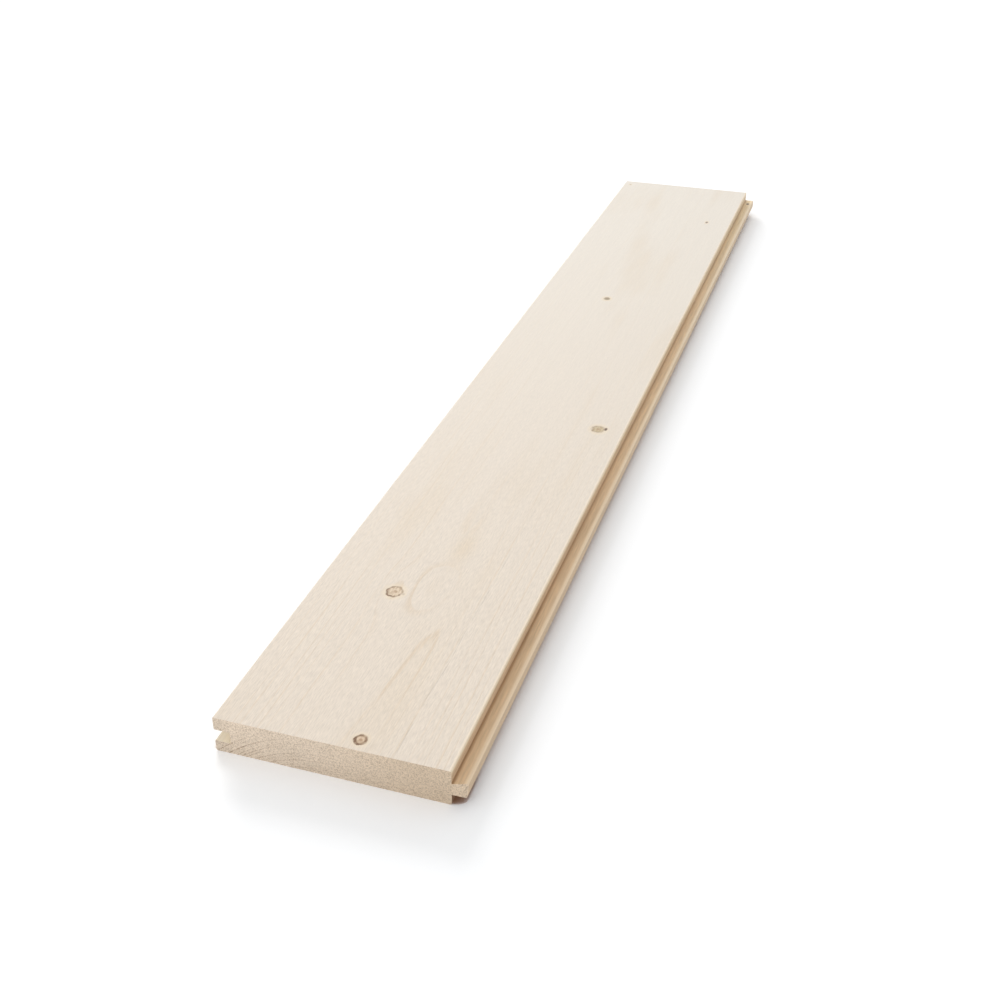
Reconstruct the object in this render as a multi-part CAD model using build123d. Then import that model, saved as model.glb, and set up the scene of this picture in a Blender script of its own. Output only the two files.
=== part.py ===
from build123d import *
import os

# A tongue-and-groove cladding board, in millimetres, lying on its back with its face up.
# X runs across the board towards the tongue, Y along the grain and Z up.
# The origin is on the floor, under the middle of the board.

# Driving dimensions of the board
length = 974.0            # along the grain, from end cut to end cut
thickness = 23.0          # from back to face
cover_width = 136.5       # what the board covers on a wall, from groove edge to tongue shoulder

# Tongue, on the +X edge
tongue_length = 8.5       # how far it stands out from the shoulder
tongue_thickness = 7.4
tongue_below_face = 8.45  # from the face down to the tongue's upper side

# Groove, on the -X edge, which takes the next board's tongue
side_clearance = 0.15     # between the tongue and each side of the groove
nose_clearance = 1.0      # between the tongue's nose and the bottom of the groove

# Rounded arrises along the grain
face_arris = 0.5          # both edges of the face
back_arris = 1.0          # both edges of the back
mouth_arris = 0.4         # both edges of the groove's mouth
nose_arris = 1.0          # both edges of the tongue's nose

# Places across the board
tongue_nose = (cover_width + tongue_length) / 2
shoulder = tongue_nose - tongue_length
groove_edge = shoulder - cover_width
groove_bottom = groove_edge + tongue_length + nose_clearance

# Heights above the back
tongue_upper = thickness - tongue_below_face
tongue_lower = tongue_upper - tongue_thickness
groove_upper = tongue_upper + side_clearance
groove_lower = tongue_lower - side_clearance


def board_section():
    """The cross-section, as corners with the radius at each, from the back's groove edge round by the tongue."""
    sharp = 0
    corners = [
        (groove_edge, 0, back_arris),
        (shoulder, 0, back_arris),
        (shoulder, tongue_lower, sharp),
        (tongue_nose, tongue_lower, nose_arris),
        (tongue_nose, tongue_upper, nose_arris),
        (shoulder, tongue_upper, sharp),
        (shoulder, thickness, face_arris),
        (groove_edge, thickness, face_arris),
        (groove_edge, groove_upper, mouth_arris),
        (groove_bottom, groove_upper, sharp),
        (groove_bottom, groove_lower, sharp),
        (groove_edge, groove_lower, mouth_arris),
    ]
    points = [(x, z) for x, z, radius in corners]
    radii = [radius for x, z, radius in corners]
    return make_face(FilletPolyline(*points, radius=radii, close=True))


def cladding_board():
    """The board: its section run along the grain, with both ends cut square."""
    return extrude(Plane.XZ * board_section(), amount=length / 2, both=True)


os.makedirs("parts", exist_ok=True)
export_step(cladding_board(), "parts/cladding_board.step")
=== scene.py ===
import math
import bmesh
import bpy
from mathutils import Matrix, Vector


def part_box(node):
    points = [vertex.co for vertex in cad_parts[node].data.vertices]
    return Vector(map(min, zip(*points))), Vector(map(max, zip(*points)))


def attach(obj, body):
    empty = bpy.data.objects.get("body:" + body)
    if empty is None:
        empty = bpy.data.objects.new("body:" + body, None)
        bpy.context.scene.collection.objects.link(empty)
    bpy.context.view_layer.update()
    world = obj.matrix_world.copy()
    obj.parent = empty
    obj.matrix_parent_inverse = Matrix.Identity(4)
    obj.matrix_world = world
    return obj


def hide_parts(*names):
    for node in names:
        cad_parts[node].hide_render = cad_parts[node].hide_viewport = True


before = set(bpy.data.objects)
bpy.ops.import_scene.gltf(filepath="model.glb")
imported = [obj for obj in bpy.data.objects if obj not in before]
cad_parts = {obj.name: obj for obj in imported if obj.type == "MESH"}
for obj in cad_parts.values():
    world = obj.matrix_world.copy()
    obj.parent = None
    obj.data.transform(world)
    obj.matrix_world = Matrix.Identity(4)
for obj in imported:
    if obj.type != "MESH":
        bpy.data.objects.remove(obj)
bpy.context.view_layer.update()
boardLow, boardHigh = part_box("cladding_board")
nearY, farY, faceZ = boardLow.y, boardHigh.y, boardHigh.z
tiny = 1e-5
print("frame loaded, board", [round(side * 1000, 1) for side in boardHigh - boardLow], "mm")

# The moulded section, in metres, as the solid has it, then a chip and the mesh
sectionSizes = {
    "tongueLength": 0.0085,
    "tongueThickness": 0.0074,
    "tongueBelowFace": 0.00845,
    "grooveSideRoom": 0.00015,  # room on each side of the next board's tongue
    "grooveDeepRoom": 0.001,    # room beyond its nose
    "faceArris": 0.0005,
    "backArris": 0.001,
    "mouthArris": 0.0004,
    "noseArris": 0.001,
    "arrisSteps": 3,
    "chipLength": 0.0028,       # the tongue's near corner is chipped back this far at its upper edge
    "stripAcross": 0.0010,      # mesh strips
    "stripUp": 0.0012,
    "cutsAlong": (12, 12),      # cuts in the first and the second round along the grain
    "mergeReach": 1e-6,         # points closer than this become one
    "smoothBelow": 40,          # degrees between faces that shade as one
}

shoulderX = boardHigh.x - sectionSizes["tongueLength"]
grooveX = boardLow.x + sectionSizes["tongueLength"] + sectionSizes["grooveDeepRoom"]
tongueTop = faceZ - sectionSizes["tongueBelowFace"]
tongueUnder = tongueTop - sectionSizes["tongueThickness"]
grooveTop = tongueTop + sectionSizes["grooveSideRoom"]
grooveUnder = tongueUnder - sectionSizes["grooveSideRoom"]


def editPiece(piece):
    bpy.ops.object.select_all(action="DESELECT")
    piece.select_set(True)
    bpy.context.view_layer.objects.active = piece
    bpy.ops.object.mode_set(mode="EDIT")


def pick(kind, test):
    # selects the faces or edges of the piece in edit mode that pass the test
    bpy.ops.mesh.select_mode(type=kind)
    bpy.ops.mesh.select_all(action="DESELECT")
    data = bpy.context.edit_object.data
    shape = bmesh.from_edit_mesh(data)
    for part in shape.faces if kind == "FACE" else shape.edges:
        part.select_set(test(part))
    shape.select_flush_mode()
    bmesh.update_edit_mesh(data)


def sliceAt(axis, place, test=None):
    # cuts the faces that pass the test, or all of them, with a plane square to the axis
    if test:
        pick("FACE", test)
    else:
        bpy.ops.mesh.select_all(action="SELECT")
    point = [0.0, 0.0, 0.0]
    normal = [0.0, 0.0, 0.0]
    point[axis] = place
    normal[axis] = 1.0
    bpy.ops.mesh.bisect(plane_co=point, plane_no=normal)


def drawAcross(distance):
    # extrudes the picked faces across the board
    bpy.ops.mesh.extrude_region_move(TRANSFORM_OT_translate={"value": (distance, 0, 0)})


def mergePoints():
    bpy.ops.mesh.select_all(action="SELECT")
    bpy.ops.mesh.remove_doubles(threshold=sectionSizes["mergeReach"])


def middle(part):
    total = sum((corner.co for corner in part.verts[1:]), part.verts[0].co.copy())
    return total / len(part.verts)


def inBand(part, low, high):
    # true where the middle is between two heights
    return low < middle(part).z < high


def runsAlong(edge):
    # true for an edge that is ten times as long along the grain as across it
    step = edge.verts[1].co - edge.verts[0].co
    return abs(step.y) > 10 * max(abs(step.x), abs(step.z))


def evenCuts(low, high, step):
    count = max(1, round((high - low) / step))
    return [low + (high - low) * number / count for number in range(1, count)]


def startBlock():
    bpy.ops.object.select_all(action="DESELECT")
    bpy.ops.mesh.primitive_cube_add(size=1.0)
    board = bpy.context.object
    board.name = "spruceBoard"
    board.data.name = "spruceBoard"
    board.scale = (shoulderX - boardLow.x, farY - nearY, faceZ)
    board.location = ((shoulderX + boardLow.x) / 2, 0, faceZ / 2)
    bpy.ops.object.transform_apply(location=True, rotation=True, scale=True)
    editPiece(board)
    return board


def drawTongue():
    # the middle strip of the right edge is drawn out
    for height in (tongueUnder, tongueTop):
        sliceAt(2, height, lambda face: middle(face).x > shoulderX - tiny)
    pick("FACE", lambda face: middle(face).x > shoulderX - tiny and inBand(face, tongueUnder, tongueTop))
    drawAcross(sectionSizes["tongueLength"])


def cutGroove():
    # the middle strip of the left edge is pushed in, open at both ends
    sliceAt(0, grooveX)
    for height in (grooveUnder, grooveTop):
        sliceAt(2, height, lambda face: middle(face).x < grooveX - tiny)
    pick("FACE", lambda face: middle(face).x < boardLow.x + tiny and inBand(face, grooveUnder, grooveTop))
    drawAcross(grooveX - boardLow.x)
    pick(
        "FACE",
        lambda face: abs(middle(face).y) > farY - tiny
        and middle(face).x < grooveX - tiny
        and inBand(face, grooveUnder + tiny, grooveTop - tiny),
    )
    bpy.ops.mesh.delete(type="FACE")
    mergePoints()
    bpy.ops.mesh.normals_make_consistent(inside=False)


def cutStrips():
    # even strips, which keep the shading of the arrises at the edges
    for start, stop in ((boardLow.x, grooveX), (grooveX, shoulderX), (shoulderX, boardHigh.x)):
        for place in evenCuts(start, stop, sectionSizes["stripAcross"]):
            sliceAt(0, place)
    for start, stop in ((0, grooveUnder), (tongueUnder, tongueTop), (grooveTop, faceZ)):
        for place in evenCuts(start, stop, sectionSizes["stripUp"]):
            sliceAt(2, place)
    for cuts in sectionSizes["cutsAlong"]:
        pick("EDGE", runsAlong)
        bpy.ops.mesh.subdivide(number_cuts=cuts)


def roundArrises():
    # each with its own radius
    arrises = (
        ("faceArris", (boardLow.x, shoulderX), (faceZ,)),
        ("backArris", (boardLow.x, shoulderX), (0,)),
        ("mouthArris", (boardLow.x,), (grooveUnder, grooveTop)),
        ("noseArris", (boardHigh.x,), (tongueUnder, tongueTop)),
    )
    for name, placesX, placesZ in arrises:
        pick(
            "EDGE",
            lambda edge: runsAlong(edge)
            and any(abs(middle(edge).x - x) < tiny for x in placesX)
            and any(abs(middle(edge).z - z) < tiny for z in placesZ),
        )
        bpy.ops.mesh.bevel(offset=sectionSizes[name], segments=sectionSizes["arrisSteps"], profile=0.5)


def chipTongue():
    # a slanted cut takes the upper outer corner off the tongue's near end
    chipLength = sectionSizes["chipLength"]
    inner = Vector((shoulderX, nearY, tongueTop))
    back = Vector((boardHigh.x, nearY + chipLength, tongueTop))
    foot = Vector((boardHigh.x, nearY, tongueUnder))
    slant = (foot - inner).cross(back - inner).normalized()
    nearEnd = nearY + 3 * chipLength  # well beyond the chip
    pick("FACE", lambda face: middle(face).x > shoulderX + tiny and middle(face).y < nearEnd)
    bpy.ops.mesh.bisect(plane_co=inner, plane_no=slant, use_fill=True, clear_outer=True)


def makeBoard():
    board = startBlock()
    drawTongue()
    cutGroove()
    cutStrips()
    roundArrises()
    chipTongue()
    # an arris may end on a strip's edge, so points that meet become one
    mergePoints()
    bpy.ops.object.mode_set(mode="OBJECT")
    bpy.ops.object.shade_smooth_by_angle(angle=math.radians(sectionSizes["smoothBelow"]))
    print("board shaped,", len(board.data.polygons), "faces")
    return board


# Node helpers: a value is a number, a colour or another node's output

def feed(tree, socket, value):
    if isinstance(value, bpy.types.NodeSocket):
        tree.links.new(value, socket)
    else:
        socket.default_value = value


def calc(tree, operation, *values):
    made = tree.nodes.new("ShaderNodeMath")
    made.operation = operation
    for socket, value in zip(made.inputs, values):
        feed(tree, socket, value)
    return made.outputs[0]


def times(tree, first, second):
    return calc(tree, "MULTIPLY", first, second)


def minus(tree, first, second):
    return calc(tree, "SUBTRACT", first, second)


def addTimes(tree, first, second, third):
    # first times second, plus third
    return calc(tree, "MULTIPLY_ADD", first, second, third)


def apart(tree, first, second):
    # distance from the steps in two directions
    return calc(tree, "SQRT", addTimes(tree, first, first, times(tree, second, second)))


def vectorCalc(tree, operation, first, second):
    made = tree.nodes.new("ShaderNodeVectorMath")
    made.operation = operation
    feed(tree, made.inputs[0], first)
    feed(tree, made.inputs["Scale" if operation == "SCALE" else 1], second)
    return made.outputs["Vector"]


def spread(tree, value, low, high, toLow=0.0, toHigh=1.0):
    # eases from one value to the other as the first goes from low to high
    made = tree.nodes.new("ShaderNodeMapRange")
    made.interpolation_type = "SMOOTHSTEP"
    for socket, number in zip(made.inputs, (value, low, high, toLow, toHigh)):
        feed(tree, socket, number)
    return made.outputs["Result"]


def tint(tree, amount, first, second):
    made = tree.nodes.new("ShaderNodeMix")
    made.data_type = "RGBA"
    feed(tree, made.inputs[0], amount)
    feed(tree, made.inputs[6], first)
    feed(tree, made.inputs[7], second)
    return made.outputs[2]


# most of a cloud's values are within the first of these, and nearly all within the second
mostNoise = (0.3, 0.7)
allNoise = (0.2, 0.8)


def cloud(tree, place, lengths, detail=2.0, roughness=0.5):
    # noise whose patches have these lengths across, along and up the board, in metres
    made = tree.nodes.new("ShaderNodeTexNoise")
    feed(tree, made.inputs["Vector"], vectorCalc(tree, "DIVIDE", place, lengths))
    made.inputs["Scale"].default_value = 1.0
    made.inputs["Detail"].default_value = detail
    made.inputs["Roughness"].default_value = roughness
    return made.outputs[0]


def ripple(tree, place, lengths, detail=2.0, roughness=0.5):
    # the same noise, about zero
    return minus(tree, cloud(tree, place, lengths, detail, roughness), 0.5)


def split(tree, place):
    made = tree.nodes.new("ShaderNodeSeparateXYZ")
    feed(tree, made.inputs[0], place)
    return made.outputs


def hump(tree, x, y, at, half, lean=0.0):
    # 1 at a place on the face, and easing off to nothing over its half lengths across and along
    away = addTimes(tree, y, 1 / half[1], -at[1] / half[1])
    aside = addTimes(tree, x, 1 / half[0], (lean * at[1] - at[0]) / half[0])
    aside = addTimes(tree, y, -lean / half[0], aside)
    square = addTimes(tree, away, away, times(tree, aside, aside))
    return calc(tree, "EXPONENT", times(tree, square, -1.0))


def paint(red, green, blue):
    # a colour as it shows on a screen, from 0 to 255, made linear for the shader
    parts = (red / 255, green / 255, blue / 255)
    return tuple(((part + 0.055) / 1.055) ** 2.4 for part in parts) + (1.0,)


# Year rings of the log, in metres. The heart runs along the board, below its back
logRings = {
    "heartX": -0.002,
    "heartZ": -0.078,
    "drift": -0.004,     # sideways lean of the heart, for each metre along
    "taper": 0.0024,     # the log narrows by this for each metre along
    "ringWidth": 0.0023,
    "firstRing": 0.30,
    "wobble": 0.0007,
    "slowWaves": (0.045, 0.26, 0.045),    # lengths of the wobble
    "fineWaves": (0.006, 0.045, 0.006),
    "unevenYears": ((2.1, 0.0, 0.18), (5.3, 1.0, 0.12)),  # pace, start and size of wide and narrow years
    "lateBand": (0.74, 0.93),  # shares of a year over which the late wood comes in
    "lateStop": (0.94, 1.0),   # and stops
    "wideBand": (0.45, 0.86),  # the same for the broad late wood in a curl
    "wideStop": (0.92, 1.0),
    "palestYear": 0.45,        # late wood in the palest year, against the darkest
}

# Where the wood swells or dips round a branch: height, place, half lengths across and along, and lean
woodSwells = (
    {"height": 0.0034, "at": (-0.0012, -0.335), "half": (0.0142, 0.037), "lean": 0.02},
    {"height": 0.0016, "at": (-0.0060, -0.440), "half": (0.0160, 0.075), "lean": 0.0},
    {"height": -0.0022, "at": (0.0115, -0.492), "half": (0.0080, 0.195), "lean": 0.065},
    {"height": -0.0030, "at": (-0.0245, -0.346), "half": (0.0085, 0.024), "lean": 0.0},
    {"height": -0.0015, "at": (0.0440, -0.105), "half": (0.0070, 0.022), "lean": 0.0},
    {"height": -0.0008, "at": (-0.0105, 0.143), "half": (0.0040, 0.014), "lean": 0.0},
    {"height": -0.0008, "at": (0.0395, 0.376), "half": (0.0040, 0.014), "lean": 0.0},
)


def ringCount(tree, place, x, y, z):
    # distance from the heart, with the log's taper, wobble and swells, counted in rings
    across = addTimes(tree, y, -logRings["drift"], minus(tree, x, logRings["heartX"]))
    rise = minus(tree, z, logRings["heartZ"])
    reach = addTimes(tree, y, logRings["taper"], apart(tree, across, rise))
    slow = ripple(tree, place, logRings["slowWaves"], 1.0)
    fine = ripple(tree, place, logRings["fineWaves"])
    reach = addTimes(tree, slow, 2 * logRings["wobble"], reach)
    reach = addTimes(tree, fine, 0.5 * logRings["wobble"], reach)
    for swell in woodSwells:
        rounded = hump(tree, x, y, swell["at"], swell["half"], swell["lean"])
        reach = addTimes(tree, rounded, swell["height"], reach)
    count = addTimes(tree, reach, 1 / logRings["ringWidth"], logRings["firstRing"])
    uneven = count
    for pace, start, size in logRings["unevenYears"]:
        wave = calc(tree, "SINE", addTimes(tree, count, pace, start))
        uneven = addTimes(tree, wave, size, uneven)
    return uneven


# Knots where they meet the face: place, radius across, length along against width, softness of the edge,
# width of the bark rim, then how much rim, heart, tan, olive and dark wood each one shows
boardKnots = (
    {"at": (-0.0226, -0.3480), "radius": 0.0053, "along": 1.12, "soft": 0.2, "rimWidth": 0.20,
     "Rim": 0.95, "Heart": 0.45, "Tan": 0.35},
    {"at": (-0.0166, -0.3490), "radius": 0.0013, "along": 1.2, "soft": 0.8, "Dark": 0.28},
    {"at": (0.0105, -0.4788), "radius": 0.0037, "along": 1.12, "soft": 0.2, "rimWidth": 0.32,
     "Rim": 1.6, "Heart": 0.7, "Tan": 0.9},
    {"at": (0.0443, -0.1050), "radius": 0.0053, "along": 1.08, "soft": 0.45, "rimWidth": 0.3,
     "Rim": 0.6, "Heart": 0.6, "Olive": 0.65},
    {"at": (0.0498, -0.1035), "radius": 0.0015, "along": 2.0, "soft": 0.7, "Dark": 1.0},
    {"at": (-0.0105, 0.1430), "radius": 0.0034, "along": 1.25, "soft": 0.6, "Olive": 0.7, "Dark": 0.5},
    {"at": (0.0395, 0.3760), "radius": 0.0017, "along": 2.1, "soft": 0.7, "Dark": 0.75},
    {"at": (-0.0655, 0.4760), "radius": 0.0014, "along": 1.5, "soft": 0.6, "Dark": 0.3},
    {"at": (0.0745, 0.4740), "radius": 0.0022, "along": 1.6, "soft": 0.6, "Dark": 0.9},
)

# What all the knots share. Distances are in a knot's own radii
knotShape = {
    "ragged": 0.35,                           # how uneven the outline is
    "raggedLengths": (0.0022, 0.0026, 0.02),
    "edge": 1.05,
    "halo": (1.0, 1.8),                       # from where to where the wood round it is paler
    "heart": (0.12, 0.38),
    "mottleLengths": (0.0015, 0.0030, 0.02),  # patches in the wood of a knot with a heart
    "mottleRange": (0.42, 0.60),
    "breakLengths": (0.0030, 0.0034, 0.03),   # and along the bark rim
    "breakRange": (0.36, 0.56),
    "thinRim": 0.45,                          # the rim where it is broken
    "paleRim": 0.4,                           # and on its palest side
    "darkSide": (-0.5, -0.6),                 # the way to its darkest side, across and along
    "darkRange": (-0.9, 0.6),
    "fullRim": 0.2,                           # share of the rim's width over which it is full
}
knotParts = ("Rim", "Heart", "Tan", "Olive", "Dark", "Halo", "Whorl")


def knotLayers(tree, place, x, y, z):
    # each knot is a cone from the heart, so it shows smaller on the back
    reach = faceZ - logRings["heartZ"]
    depth = addTimes(tree, z, 1 / reach, -logRings["heartZ"] / reach)
    ragged = ripple(tree, place, knotShape["raggedLengths"])
    mottle = cloud(tree, place, knotShape["mottleLengths"], 1.0)
    mottle = spread(tree, mottle, *knotShape["mottleRange"])
    breaks = cloud(tree, place, knotShape["breakLengths"], 1.0)
    breaks = spread(tree, breaks, *knotShape["breakRange"], knotShape["thinRim"], 1.0)
    darkX, darkY = knotShape["darkSide"]
    layers = dict.fromkeys(knotParts, 0.0)
    for knot in boardKnots:
        knotX, knotY = knot["at"]
        centreX = addTimes(tree, depth, knotX - logRings["heartX"], logRings["heartX"])
        width = times(tree, depth, knot["radius"])
        long = times(tree, width, knot["along"])
        aside = calc(tree, "DIVIDE", minus(tree, x, centreX), width)
        away = calc(tree, "DIVIDE", minus(tree, y, knotY), long)
        out = addTimes(tree, ragged, knotShape["ragged"], apart(tree, aside, away))
        core = spread(tree, out, knotShape["edge"] - knot["soft"], knotShape["edge"], 1.0, 0.0)
        halo = spread(tree, out, *knotShape["halo"], 1.0, 0.0)
        layers["Halo"] = calc(tree, "MAXIMUM", layers["Halo"], halo)
        for name in ("Tan", "Olive", "Dark"):
            if name in knot:
                layers[name] = addTimes(tree, core, knot[name], layers[name])
        if "Heart" in knot:
            heart = spread(tree, out, *knotShape["heart"], knot["Heart"], 0.0)
            layers["Heart"] = calc(tree, "MAXIMUM", layers["Heart"], heart)
            layers["Whorl"] = addTimes(tree, core, mottle, layers["Whorl"])
        if "Rim" in knot:
            # the rim is darkest towards the groove and the near end
            side = addTimes(tree, aside, darkX, times(tree, away, darkY))
            palest = knotShape["paleRim"] * knot["Rim"]
            weight = spread(tree, side, *knotShape["darkRange"], palest, knot["Rim"])
            gap = calc(tree, "ABSOLUTE", minus(tree, out, 1.0 - 0.5 * knot["rimWidth"]))
            rim = spread(tree, gap, knotShape["fullRim"] * knot["rimWidth"], knot["rimWidth"], 1.0, 0.0)
            rim = times(tree, times(tree, rim, weight), breaks)
            layers["Rim"] = calc(tree, "MAXIMUM", layers["Rim"], rim)
    return layers


# Lengths of fibres, strands and patches of colour across, along and up the board
grainLengths = {
    "Fibre": (0.0007, 0.014, 0.0007),
    "Strand": (0.0022, 0.075, 0.0022),
    "Patch": (0.030, 0.16, 0.030),
}
grainOutputs = ("Late", "Wide") + tuple(grainLengths) + knotParts


def lateWood(tree, phase, band, stop):
    # 1 in the late wood of each year, which comes in slowly and stops short
    return times(tree, spread(tree, phase, *band), spread(tree, phase, *stop, 1.0, 0.0))


def grainGroup():
    tree = bpy.data.node_groups.new("spruceGrain", "ShaderNodeTree")
    tree.interface.new_socket(name="Place", in_out="INPUT", socket_type="NodeSocketVector")
    for name in grainOutputs:
        tree.interface.new_socket(name=name, in_out="OUTPUT", socket_type="NodeSocketFloat")
    place = tree.nodes.new("NodeGroupInput").outputs["Place"]
    output = tree.nodes.new("NodeGroupOutput")
    x, y, z = split(tree, place)

    count = ringCount(tree, place, x, y, z)
    phase = calc(tree, "FRACT", count)
    years = tree.nodes.new("ShaderNodeTexWhiteNoise")
    years.noise_dimensions = "1D"
    feed(tree, years.inputs["W"], calc(tree, "FLOOR", count))
    depth = spread(tree, years.outputs["Value"], 0.0, 1.0, logRings["palestYear"], 1.0)
    layers = knotLayers(tree, place, x, y, z)
    layers["Late"] = times(tree, lateWood(tree, phase, logRings["lateBand"], logRings["lateStop"]), depth)
    layers["Wide"] = lateWood(tree, phase, logRings["wideBand"], logRings["wideStop"])
    layers["Fibre"] = cloud(tree, place, grainLengths["Fibre"], 3.0, 0.6)
    layers["Strand"] = cloud(tree, place, grainLengths["Strand"], 3.0, 0.6)
    layers["Patch"] = cloud(tree, place, grainLengths["Patch"])
    for name in grainOutputs:
        feed(tree, output.inputs[name], layers[name])
    print("grain group made,", len(tree.nodes), "nodes")
    return tree


def newMaterial(name, grain):
    material = bpy.data.materials.new(name)
    material.use_nodes = True
    tree = material.node_tree
    place = tree.nodes.new("ShaderNodeTexCoord").outputs["Object"]
    wood = tree.nodes.new("ShaderNodeGroup")
    wood.node_tree = grain
    feed(tree, wood.inputs["Place"], place)
    return material, tree, tree.nodes["Principled BSDF"], place, wood.outputs


knotColours = {
    "rim": paint(124, 92, 62),
    "heart": paint(168, 128, 94),
    "tan": paint(216, 188, 158),
    "olive": paint(190, 171, 128),
    "dark": paint(100, 76, 58),
    "whorl": paint(168, 138, 100),
    "whorlShare": 0.45,
    "halo": paint(236, 216, 184),
    "haloShare": 0.5,
}


def addKnots(tree, wood, colour):
    halo = times(tree, wood["Halo"], knotColours["haloShare"])
    whorl = times(tree, wood["Whorl"], knotColours["whorlShare"])
    colour = tint(tree, halo, colour, knotColours["halo"])
    colour = tint(tree, wood["Tan"], colour, knotColours["tan"])
    colour = tint(tree, wood["Olive"], colour, knotColours["olive"])
    colour = tint(tree, whorl, colour, knotColours["whorl"])
    colour = tint(tree, wood["Heart"], colour, knotColours["heart"])
    colour = tint(tree, wood["Dark"], colour, knotColours["dark"])
    return tint(tree, wood["Rim"], colour, knotColours["rim"])


def shadeBy(tree, colour, value, low, high, dark, light):
    # scales a colour by one number where the value is low, and by the other where it is high
    return vectorCalc(tree, "SCALE", colour, spread(tree, value, low, high, dark, light))


def shadeFibres(tree, wood, colour, strands, fibres):
    colour = shadeBy(tree, colour, wood["Strand"], *mostNoise, *strands)
    return shadeBy(tree, colour, wood["Fibre"], *mostNoise, *fibres)


def coat(tree, shader, wood, colour, texture, finish):
    # colour with its knots, roughness that follows a texture, and shine
    feed(tree, shader.inputs["Base Color"], addKnots(tree, wood, colour))
    feed(tree, shader.inputs["Roughness"], spread(tree, texture, *allNoise, *finish["roughness"]))
    shader.inputs["Specular IOR Level"].default_value = finish["shine"]


def roughen(tree, shader, height, finish):
    # fine relief, with its strength and its depth in metres
    strength, depth = finish["relief"]
    made = tree.nodes.new("ShaderNodeBump")
    made.inputs["Strength"].default_value = strength
    made.inputs["Distance"].default_value = depth
    feed(tree, made.inputs["Height"], height)
    feed(tree, shader.inputs["Normal"], made.outputs["Normal"])


# Fine-sawn face and back. Places are across and along the board, fades run along it
sawnFinish = {
    # painted light and sheen: the face's colours are paler and whiter towards the far end
    "nearEarly": paint(227, 213, 196),
    "nearLate": paint(215, 193, 165),
    "farEarly": paint(232, 223, 210),
    "farLate": paint(226, 212, 192),
    "warm": paint(222, 203, 177),
    "warmShare": 0.30,
    "warmRange": (0.50, 0.80),
    "nearRings": 0.70,              # how strongly the year rings show
    "farRings": 0.25,
    "ringFade": (-0.40, 0.05),
    "streakRange": (0.36, 0.62),    # strands between which a ring goes from faint to full
    "streakLeast": 0.15,
    "curlAt": (-0.0130, -0.3420),   # rings show whole here
    "curlHalf": (0.0170, 0.0420),
    "curlRings": 0.58,
    "calmAt": (-0.0020, -0.2310),   # and hardly here
    "calmHalf": (0.0120, 0.0500),
    "calmRings": 0.70,
    "flameAt": (0.0020, -0.2890),   # a soft warm spot
    "flameHalf": (0.0065, 0.0200),
    "flameWarmth": 0.60,
    "strands": (0.99, 1.01),
    "fibres": (0.975, 1.02),
    "nearNap": 0.42,                # how rough the saw left the grain
    "farNap": 0.06,
    "napFade": (-0.45, 0.15),
    "napLengths": (0.0007, 0.0055, 0.0007),
    "arrisHighlight": paint(247, 229, 203),  # painted highlight along the arris on the tongue side
    "arrisHighlightShare": 0.85,
    "arrisHighlightReach": (0.0018, 0.0005),
    "tornAt": 0.0325,               # a line of torn fibres runs along the board here
    "tornWidth": 0.0006,
    "tornSway": 0.004,
    "tornSwayLengths": (1.0, 0.06, 1.0),
    "tornBreakLengths": (1.0, 0.022, 1.0),
    "tornBreakRange": (0.42, 0.55),
    "tornFade": (-0.42, -0.12),
    "tornFar": 0.2,
    "tornShade": 0.90,
    "tornDepth": 0.8,               # depths and heights in the relief, against a fibre's
    "rimDepth": 1.2,
    "toothHeight": 0.35,
    "toothLengths": (0.05, 0.0009, 0.05),  # saw lines
    "relief": (0.35, 0.00025),
    "roughness": (0.56, 0.72),
    "shine": 0.4,
}


def tornLine(tree, place, x, y):
    # torn fibres, broken up along the line and fading away from the near end
    width = sawnFinish["tornWidth"]
    sway = ripple(tree, place, sawnFinish["tornSwayLengths"])
    off = addTimes(tree, sway, -sawnFinish["tornSway"], minus(tree, x, sawnFinish["tornAt"]))
    line = spread(tree, calc(tree, "ABSOLUTE", off), 0.2 * width, width, 1.0, 0.0)
    breaks = cloud(tree, place, sawnFinish["tornBreakLengths"], 3.0)
    breaks = spread(tree, breaks, *sawnFinish["tornBreakRange"])
    fade = spread(tree, y, *sawnFinish["tornFade"], 1.0, sawnFinish["tornFar"])
    return times(tree, times(tree, line, breaks), fade)


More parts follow.
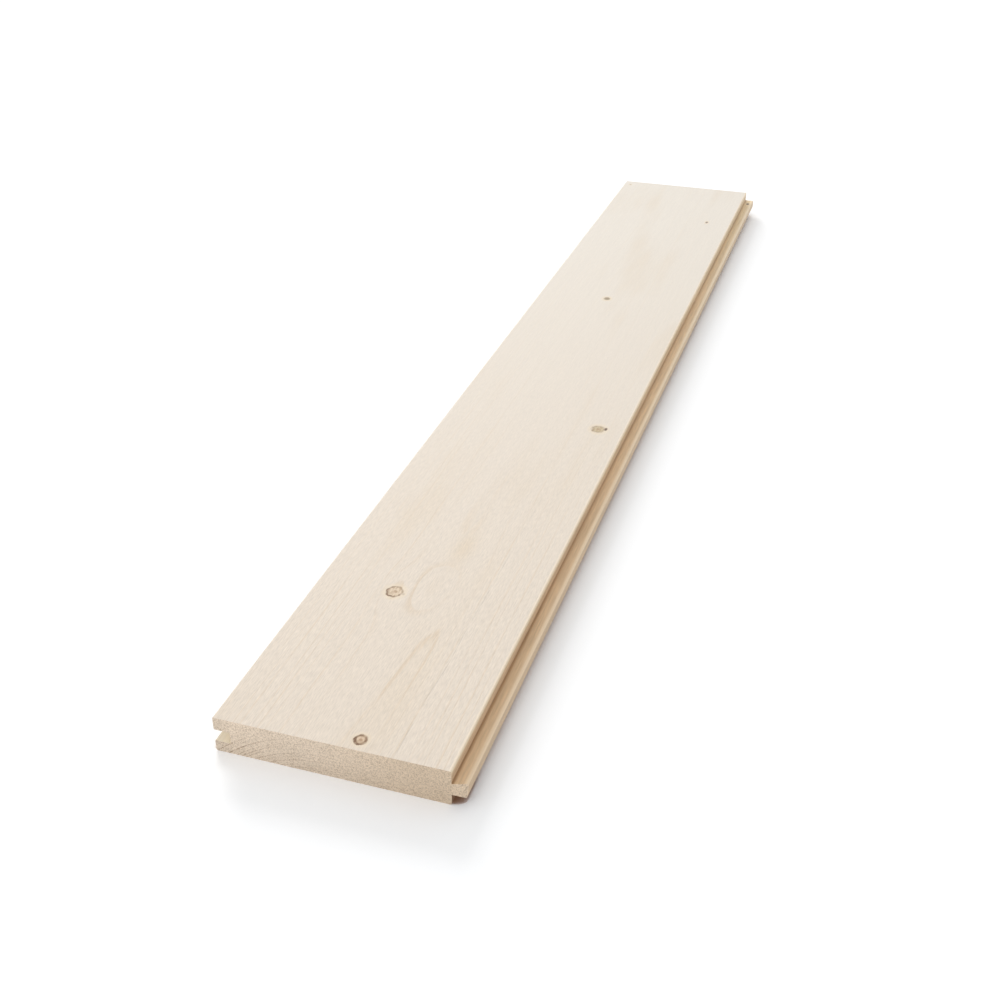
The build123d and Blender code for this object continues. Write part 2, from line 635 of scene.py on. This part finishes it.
def sawnSpruce(grain):
    material, tree, shader, place, wood = newMaterial("sawnSpruce", grain)
    x, y = split(tree, place)[:2]
    # painted light and sheen: paler and whiter towards the far end
    along = spread(tree, y, nearY, farY)
    early = tint(tree, along, sawnFinish["nearEarly"], sawnFinish["farEarly"])
    late = tint(tree, along, sawnFinish["nearLate"], sawnFinish["farLate"])

    # rings show as broken streaks, clearest near the front, and whole in the curl beside the large knot
    whole = spread(tree, wood["Strand"], *sawnFinish["streakRange"], sawnFinish["streakLeast"], 1.0)
    streaks = times(tree, wood["Late"], whole)
    shown = spread(tree, y, *sawnFinish["ringFade"], sawnFinish["nearRings"], sawnFinish["farRings"])
    calm = hump(tree, x, y, sawnFinish["calmAt"], sawnFinish["calmHalf"])
    shown = times(tree, shown, addTimes(tree, calm, -sawnFinish["calmRings"], 1.0))
    curl = hump(tree, x, y, sawnFinish["curlAt"], sawnFinish["curlHalf"])
    curled = times(tree, wood["Wide"], times(tree, curl, sawnFinish["curlRings"]))
    rings = calc(tree, "MAXIMUM", times(tree, streaks, shown), curled)
    colour = tint(tree, rings, early, late)

    # warm patches, darker and lighter fibres, and the saw's nap
    patches = spread(tree, wood["Patch"], *sawnFinish["warmRange"], 0.0, sawnFinish["warmShare"])
    colour = tint(tree, patches, colour, sawnFinish["warm"])
    flame = hump(tree, x, y, sawnFinish["flameAt"], sawnFinish["flameHalf"])
    colour = tint(tree, times(tree, flame, sawnFinish["flameWarmth"]), colour, sawnFinish["warm"])
    colour = shadeFibres(tree, wood, colour, sawnFinish["strands"], sawnFinish["fibres"])
    nap = ripple(tree, place, sawnFinish["napLengths"], 2.0, 0.6)
    rough = spread(tree, y, *sawnFinish["napFade"], sawnFinish["nearNap"], sawnFinish["farNap"])
    colour = vectorCalc(tree, "SCALE", colour, addTimes(tree, nap, rough, 1.0))
    # painted highlight along the arris on the tongue side
    start, stop = (shoulderX - reach for reach in sawnFinish["arrisHighlightReach"])
    edge = spread(tree, x, start, stop, 0.0, sawnFinish["arrisHighlightShare"])
    colour = tint(tree, edge, colour, sawnFinish["arrisHighlight"])
    torn = tornLine(tree, place, x, y)
    colour = shadeBy(tree, colour, torn, 0.0, 1.0, 1.0, sawnFinish["tornShade"])
    coat(tree, shader, wood, colour, wood["Fibre"], sawnFinish)

    # the saw leaves fine lines across the board, and fibres stand up along it
    teeth = cloud(tree, place, sawnFinish["toothLengths"])
    height = addTimes(tree, teeth, sawnFinish["toothHeight"], wood["Fibre"])
    height = addTimes(tree, wood["Rim"], -sawnFinish["rimDepth"], height)
    height = addTimes(tree, torn, -sawnFinish["tornDepth"], height)
    roughen(tree, shader, height, sawnFinish)
    return material


# Planed edges. Reaches are out from the shoulder and depths up from the tongue's upper side, unless a note
# says otherwise, and fades run along the board
planedFinish = {
    "nearEarly": paint(218, 188, 154),
    "nearLate": paint(195, 156, 114),
    "farEarly": paint(230, 208, 176),
    "farLate": paint(210, 176, 134),
    "lateShare": 0.40,
    "lipEarly": paint(208, 187, 158),   # painted shade: the lips beside the groove are darker, against the low sun that lights them
    "lipLate": paint(186, 156, 120),
    "lipBlend": (0.0, 0.01),            # across the board, inside the wood
    "topHighlight": paint(252, 234, 203),    # painted highlight on the shoulder just below the face
    "topHighlightReach": (0.0034, 0.0004),   # down from the face
    "tongueTop": paint(225, 193, 152),  # painted light: the tongue's upper side, paler and more golden
    "tongueTopFar": paint(236, 211, 168),
    "tongueTopFade": (0.10, farY),
    "tongueTopShare": 0.75,
    "tongueTopReach": (0.0, 0.0008),
    "tongueTopDepth": (-0.0012, -0.0004),
    # painted highlight along the tongue's outer upper edge, paler at the far end
    "tongueHighlight": paint(244, 218, 184),
    "tongueHighlightFar": paint(252, 231, 199),
    "tongueHighlightReach": (0.0054, 0.0076),
    # painted light and shade on the tongue's nose
    "nose": paint(224, 196, 160),
    "noseShare": 0.7,
    "noseReach": (0.0070, 0.0084),
    "noseDepth": (-0.0004, -0.0014),
    "corner": paint(154, 110, 66),      # painted shade: thin dark line in the corner above the tongue
    "cornerShare": 0.62,
    "cornerReach": (0.0002, 0.0021),    # all round from the corner
    "cornerFade": (-0.45, -0.05),
    "cornerFar": 0.45,
    "hollowShade": paint(112, 72, 48),       # painted shade in the rebate below the tongue
    "hollowDepth": (-0.0073, -0.0067),
    "hollowFade": (0.010, 0.05),        # from the near end
    "hollowShares": (0.75, 0.20),
    "strands": (0.91, 1.08),
    "fibres": (0.91, 1.08),
    "lateHeight": 0.3,                  # in the relief, against a fibre's
    "relief": (0.20, 0.00015),
    "roughness": (0.46, 0.60),
    "shine": 0.4,
}


def planedSpruce(grain):
    material, tree, shader, place, wood = newMaterial("planedSpruce", grain)
    x, y, z = split(tree, place)
    along = spread(tree, y, nearY, farY)
    early = tint(tree, along, planedFinish["nearEarly"], planedFinish["farEarly"])
    late = tint(tree, along, planedFinish["nearLate"], planedFinish["farLate"])
    # painted shade: darker on the groove side, which the low sun lights
    tongueSide = spread(tree, x, *planedFinish["lipBlend"])
    early = tint(tree, tongueSide, planedFinish["lipEarly"], early)
    late = tint(tree, tongueSide, planedFinish["lipLate"], late)
    colour = tint(tree, times(tree, wood["Late"], planedFinish["lateShare"]), early, late)
    aside = minus(tree, x, shoulderX)
    above = minus(tree, z, tongueTop)

    # painted light and shade: the tongue's upper side is paler and more golden, and its nose browner than
    # the shoulder, for how light falls on them
    atTop = spread(tree, above, *planedFinish["tongueTopDepth"])
    onTop = times(tree, spread(tree, aside, *planedFinish["tongueTopReach"]), atTop)
    far = spread(tree, y, *planedFinish["tongueTopFade"])
    tongueTopLight = tint(tree, far, planedFinish["tongueTop"], planedFinish["tongueTopFar"])
    colour = tint(tree, times(tree, onTop, planedFinish["tongueTopShare"]), colour, tongueTopLight)
    outside = spread(tree, aside, *planedFinish["noseReach"])
    atNose = times(tree, outside, spread(tree, above, *planedFinish["noseDepth"]))
    colour = tint(tree, times(tree, atNose, planedFinish["noseShare"]), colour, planedFinish["nose"])
    colour = shadeFibres(tree, wood, colour, planedFinish["strands"], planedFinish["fibres"])

    # painted highlights on the pale edges, a painted shade line in the corner and painted shade in the
    # rebate
    # painted highlight on the shoulder just below the face
    start, stop = (faceZ - reach for reach in planedFinish["topHighlightReach"])
    topHighlight = times(tree, spread(tree, z, start, stop), tongueSide)
    colour = tint(tree, topHighlight, colour, planedFinish["topHighlight"])
    # painted highlight along the tongue's outer upper edge
    edge = times(tree, spread(tree, aside, *planedFinish["tongueHighlightReach"]), atTop)
    highlightColour = tint(tree, along, planedFinish["tongueHighlight"], planedFinish["tongueHighlightFar"])
    colour = tint(tree, edge, colour, highlightColour)
    # painted shade in the corner above the tongue, deepest at the near end
    away = apart(tree, aside, above)
    corner = spread(tree, away, *planedFinish["cornerReach"], planedFinish["cornerShare"], 0.0)
    fade = spread(tree, y, *planedFinish["cornerFade"], 1.0, planedFinish["cornerFar"])
    colour = tint(tree, times(tree, corner, fade), colour, planedFinish["corner"])
    # painted shade below the tongue, deepest at the near end
    below = times(tree, spread(tree, above, *planedFinish["hollowDepth"], 1.0, 0.0), tongueSide)
    start, stop = (nearY + reach for reach in planedFinish["hollowFade"])
    hollowShade = times(tree, below, spread(tree, y, start, stop, *planedFinish["hollowShares"]))
    colour = tint(tree, hollowShade, colour, planedFinish["hollowShade"])

    coat(tree, shader, wood, colour, wood["Fibre"], planedFinish)
    height = addTimes(tree, wood["Late"], planedFinish["lateHeight"], wood["Fibre"])
    roughen(tree, shader, height, planedFinish)
    return material


grooveFinish = {
    "early": paint(222, 208, 182),
    "late": paint(208, 186, 152),
    "lateShare": 0.5,
    "strands": (0.96, 1.03),
    "fibres": (0.96, 1.03),
    "relief": (0.20, 0.00015),
    "roughness": (0.50, 0.64),
    "shine": 0.4,
}


def grooveSpruce(grain):
    material, tree, shader, place, wood = newMaterial("grooveSpruce", grain)
    late = times(tree, wood["Late"], grooveFinish["lateShare"])
    colour = tint(tree, late, grooveFinish["early"], grooveFinish["late"])
    colour = shadeFibres(tree, wood, colour, grooveFinish["strands"], grooveFinish["fibres"])
    coat(tree, shader, wood, colour, wood["Fibre"], grooveFinish)
    roughen(tree, shader, wood["Fibre"], grooveFinish)
    return material


# Sawn ends. Shades are what a colour is multiplied by
cutFinish = {
    "early": paint(229, 211, 190),
    "warm": paint(221, 196, 165),   # towards the tongue
    "warmShare": 0.55,
    "warmAcross": (-0.035, 0.070),
    "late": paint(142, 108, 76),
    "rings": 0.16,                  # how strongly the year rings show
    "ringsLow": 1.30,               # and how much more so low down on the groove side
    "lowAcross": (-0.066, 0.020),
    "lowAcrossLeast": 0.12,
    "lowUp": (0.002, 0.017),
    "lowUpLeast": 0.10,
    "wornLengths": (0.0022, 0.02, 0.0022),     # patches where the saw rubbed the rings away
    "wornRange": (0.36, 0.60),
    "wornLeast": 0.25,
    "pore": paint(182, 150, 116),
    "poreShare": 0.35,
    "poreRange": (0.50, 0.70),
    "speckleLengths": (0.0008, 0.004, 0.0008),
    "speckleShades": (1.21, 0.82),
    "patchShades": (0.97, 1.02),
    "sideShades": (1.07, 0.95),     # painted light and shade, from the groove side to the tongue side
    "sidesAcross": (-0.060, boardHigh.x),
    "grooveShade": 0.88,            # the edges of the lips beside the groove
    "grooveAcross": (boardLow.x, -0.058),
    "tongueShade": 1.08,
    "tongueBlend": 0.001,
    "farShade": 0.80,               # painted shade: the far cut is a little darker, against the low sun that lights it
    "farBlend": 0.1,
    "heightShades": (0.96, 1.04),   # painted shade, from the back to the face
    "markLengths": (0.0012, 0.02, 0.012),      # saw marks
    "markHeight": 0.8,
    "relief": (0.4, 0.0003),
    "roughness": (0.90, 0.72),
    "shine": 0.25,
}


def cutSpruce(grain):
    material, tree, shader, place, wood = newMaterial("cutSpruce", grain)
    x, y, z = split(tree, place)
    warm = spread(tree, x, *cutFinish["warmAcross"], 0.0, cutFinish["warmShare"])
    colour = tint(tree, warm, cutFinish["early"], cutFinish["warm"])
    lowX = spread(tree, x, *cutFinish["lowAcross"], 1.0, cutFinish["lowAcrossLeast"])
    lowZ = spread(tree, z, *cutFinish["lowUp"], 1.0, cutFinish["lowUpLeast"])
    shown = addTimes(tree, times(tree, lowX, lowZ), cutFinish["ringsLow"], cutFinish["rings"])
    worn = cloud(tree, place, cutFinish["wornLengths"], 2.0, 0.6)
    worn = spread(tree, worn, *cutFinish["wornRange"], cutFinish["wornLeast"], 1.0)
    rings = times(tree, times(tree, wood["Late"], shown), worn)
    colour = tint(tree, rings, colour, cutFinish["late"])

    # open pores, and painted light and shade from side to side, from end to end and from back to face
    speckle = cloud(tree, place, cutFinish["speckleLengths"], 3.0, 0.7)
    pores = spread(tree, speckle, *cutFinish["poreRange"], 0.0, cutFinish["poreShare"])
    colour = tint(tree, pores, colour, cutFinish["pore"])
    colour = shadeBy(tree, colour, speckle, *mostNoise, *cutFinish["speckleShades"])
    colour = shadeBy(tree, colour, wood["Patch"], *mostNoise, *cutFinish["patchShades"])
    # painted light and shade from the groove side to the tongue side
    colour = shadeBy(tree, colour, x, *cutFinish["sidesAcross"], *cutFinish["sideShades"])
    colour = shadeBy(tree, colour, x, *cutFinish["grooveAcross"], cutFinish["grooveShade"], 1.0)
    # painted shade on the far cut
    blend = cutFinish["farBlend"]
    colour = shadeBy(tree, colour, y, -blend, blend, 1.0, cutFinish["farShade"])
    blend = cutFinish["tongueBlend"]
    colour = shadeBy(tree, colour, x, shoulderX - blend, shoulderX + blend, 1.0, cutFinish["tongueShade"])
    # painted shade, darker towards the back
    colour = shadeBy(tree, colour, z, 0.0, faceZ, *cutFinish["heightShades"])
    coat(tree, shader, wood, colour, speckle, cutFinish)

    # saw marks of the crosscut run down the end
    marks = cloud(tree, place, cutFinish["markLengths"])
    roughen(tree, shader, addTimes(tree, marks, cutFinish["markHeight"], speckle), cutFinish)
    return material


def finishOf(face):
    # what makes the material of a face, from where it is and which way it looks
    mostly = 0.7
    sawnEdge = sectionSizes["faceArris"]
    if abs(face.normal.y) > mostly:
        return cutSpruce
    if abs(face.normal.z) > mostly and not sawnEdge < face.center.z < faceZ - sawnEdge:
        return sawnSpruce
    if face.center.x < grooveX + tiny and grooveUnder - tiny < face.center.z < grooveTop + tiny:
        return grooveSpruce
    return planedSpruce


def dressBoard(board):
    grain = grainGroup()
    finishes = (sawnSpruce, planedSpruce, cutSpruce, grooveSpruce)
    for finish in finishes:
        board.data.materials.append(finish(grain))
    for face in board.data.polygons:
        face.material_index = finishes.index(finishOf(face))


board = makeBoard()
dressBoard(board)
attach(board, "root")
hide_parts("cladding_board")
print("board dressed")

studio = {
    "floorSide": 12.0,
    "floorColour": (0.82, 0.82, 0.82, 1),
    "floorSeen": (1.0, 1.0, 1.0, 1),
    "floorLift": 0.107,        # a little light of its own, so that only the shadow shows
    "nookColour": (0.39, 0.20, 0.11, 1),  # the contact shadow below the tongue
    "nookReach": 0.012,
    "nookSamples": 4,
    "nookRange": (0.26, 0.48),       # how open the floor is where the shadow is full and where it ends
    "nookDepth": 0.18,               # how much deeper it is at the near end
    "nookFade": (0.012, 0.040),      # back from that end
    "nookFront": (-0.0008, 0.0018),  # its front edge, from the same end
    "nookCurve": 76.0,               # how that edge curves back towards the nose
    "nookSide": (-0.0025, -0.0005),  # its side edge, from the nose
    "skyColour": (0.985, 0.998, 1.012, 1),
    "skyBase": 0.356,
    "skyEnds": 0.675,          # soft boxes before and behind the board
    "skyLeft": 0.377,          # and one on the groove side
    "skyTop": 0.252,           # and a smaller one overhead
    "skyTopFocus": 4.0,
    "skySeen": 1.0,            # white behind the board
    "sunDistance": 3,
    "sunFrom": (-0.501, 0.782, 0.369),
    "sunColour": (1.0, 1.0, 1.0),
    "sunStrength": 1.63,
    "sunAngle": 23.4,
}


def seenRays(tree):
    # rays that show the surroundings, straight or in a shiny surface
    rays = tree.nodes.new("ShaderNodeLightPath")
    shown = calc(tree, "MAXIMUM", rays.outputs["Is Camera Ray"], rays.outputs["Is Glossy Ray"])
    return calc(tree, "MAXIMUM", shown, rays.outputs["Is Transmission Ray"])


def openFloor(tree):
    # 1 on open floor, and 0 in the contact shadow below the tongue, which is deepest at the near end
    nook = tree.nodes.new("ShaderNodeAmbientOcclusion")
    nook.samples = studio["nookSamples"]
    nook.inputs["Distance"].default_value = studio["nookReach"]
    x, y = split(tree, tree.nodes.new("ShaderNodeTexCoord").outputs["Object"])[:2]
    out = calc(tree, "MAXIMUM", minus(tree, x, shoulderX), 0.0)
    curved = times(tree, times(tree, out, out), studio["nookCurve"])
    start, stop = (nearY + reach for reach in studio["nookFront"])
    beside = spread(tree, minus(tree, y, curved), start, stop)
    start, stop = (boardHigh.x + reach for reach in studio["nookSide"])
    under = spread(tree, x, start, stop, 1.0, 0.0)
    start, stop = (nearY + reach for reach in studio["nookFade"])
    deep = spread(tree, y, start, stop, studio["nookDepth"], 0.0)
    deep = times(tree, deep, times(tree, beside, under))
    clear = spread(tree, minus(tree, nook.outputs["AO"], deep), *studio["nookRange"])
    return calc(tree, "MAXIMUM", clear, minus(tree, 1.0, beside))


def makeFloor():
    bpy.ops.object.select_all(action="DESELECT")
    bpy.ops.mesh.primitive_plane_add(size=studio["floorSide"])
    floor = bpy.context.object
    floor.name = "studioFloor"
    material = bpy.data.materials.new("paleFloor")
    material.use_nodes = True
    tree = material.node_tree
    tree.nodes.clear()
    seen = seenRays(tree)
    clear = openFloor(tree)
    matt = tree.nodes.new("ShaderNodeBsdfDiffuse")
    shown = tint(tree, clear, studio["nookColour"], studio["floorSeen"])
    feed(tree, matt.inputs["Color"], tint(tree, seen, studio["floorColour"], shown))
    glow = tree.nodes.new("ShaderNodeEmission")
    lift = times(tree, clear, studio["floorLift"])
    feed(tree, glow.inputs["Strength"], times(tree, seen, lift))
    both = tree.nodes.new("ShaderNodeAddShader")
    tree.links.new(matt.outputs[0], both.inputs[0])
    tree.links.new(glow.outputs[0], both.inputs[1])
    output = tree.nodes.new("ShaderNodeOutputMaterial")
    tree.links.new(both.outputs[0], output.inputs["Surface"])
    floor.data.materials.append(material)


def makeSky():
    world = bpy.data.worlds.new("studioSky")
    bpy.context.scene.world = world
    world.use_nodes = True
    tree = world.node_tree
    sky = tree.nodes["Background"]
    sky.inputs["Color"].default_value = studio["skyColour"]
    aimX, aimY, aimZ = split(tree, tree.nodes.new("ShaderNodeTexCoord").outputs["Generated"])
    level = addTimes(tree, calc(tree, "ABSOLUTE", aimY), studio["skyEnds"], studio["skyBase"])
    left = calc(tree, "MAXIMUM", times(tree, aimX, -1.0), 0.0)
    level = addTimes(tree, left, studio["skyLeft"], level)
    top = calc(tree, "POWER", calc(tree, "MAXIMUM", aimZ, 0.0), studio["skyTopFocus"])
    level = addTimes(tree, top, studio["skyTop"], level)
    made = tree.nodes.new("ShaderNodeMix")
    feed(tree, made.inputs[0], seenRays(tree))
    feed(tree, made.inputs[2], level)
    feed(tree, made.inputs[3], studio["skySeen"])
    tree.links.new(made.outputs[0], sky.inputs["Strength"])


def makeSun():
    place = [studio["sunDistance"] * part for part in studio["sunFrom"]]
    bpy.ops.object.light_add(type="SUN", location=place)
    sun = bpy.context.object
    sun.name = "softSun"
    sun.rotation_euler = (-sun.location).to_track_quat("-Z", "Y").to_euler()
    sun.data.color = studio["sunColour"]
    sun.data.energy = studio["sunStrength"]
    sun.data.angle = math.radians(studio["sunAngle"])


cameraSet = {
    "sensor": 36,    # millimetres
    "lens": 47.181,
    "place": (0.24124, -0.9545, 0.48847),
    "tilt": 58.73,
    "turn": 17.907,
}


def makeCamera():
    bpy.ops.object.camera_add(
        location=cameraSet["place"],
        rotation=(math.radians(cameraSet["tilt"]), 0, math.radians(cameraSet["turn"])),
    )
    camera = bpy.context.object
    camera.name = "viewCamera"
    camera.data.sensor_width = cameraSet["sensor"]
    camera.data.lens = cameraSet["lens"]
    bpy.context.scene.camera = camera


bpy.context.scene.view_settings.view_transform = "Standard"
makeFloor()
makeSky()
makeSun()
makeCamera()
print("studio set")
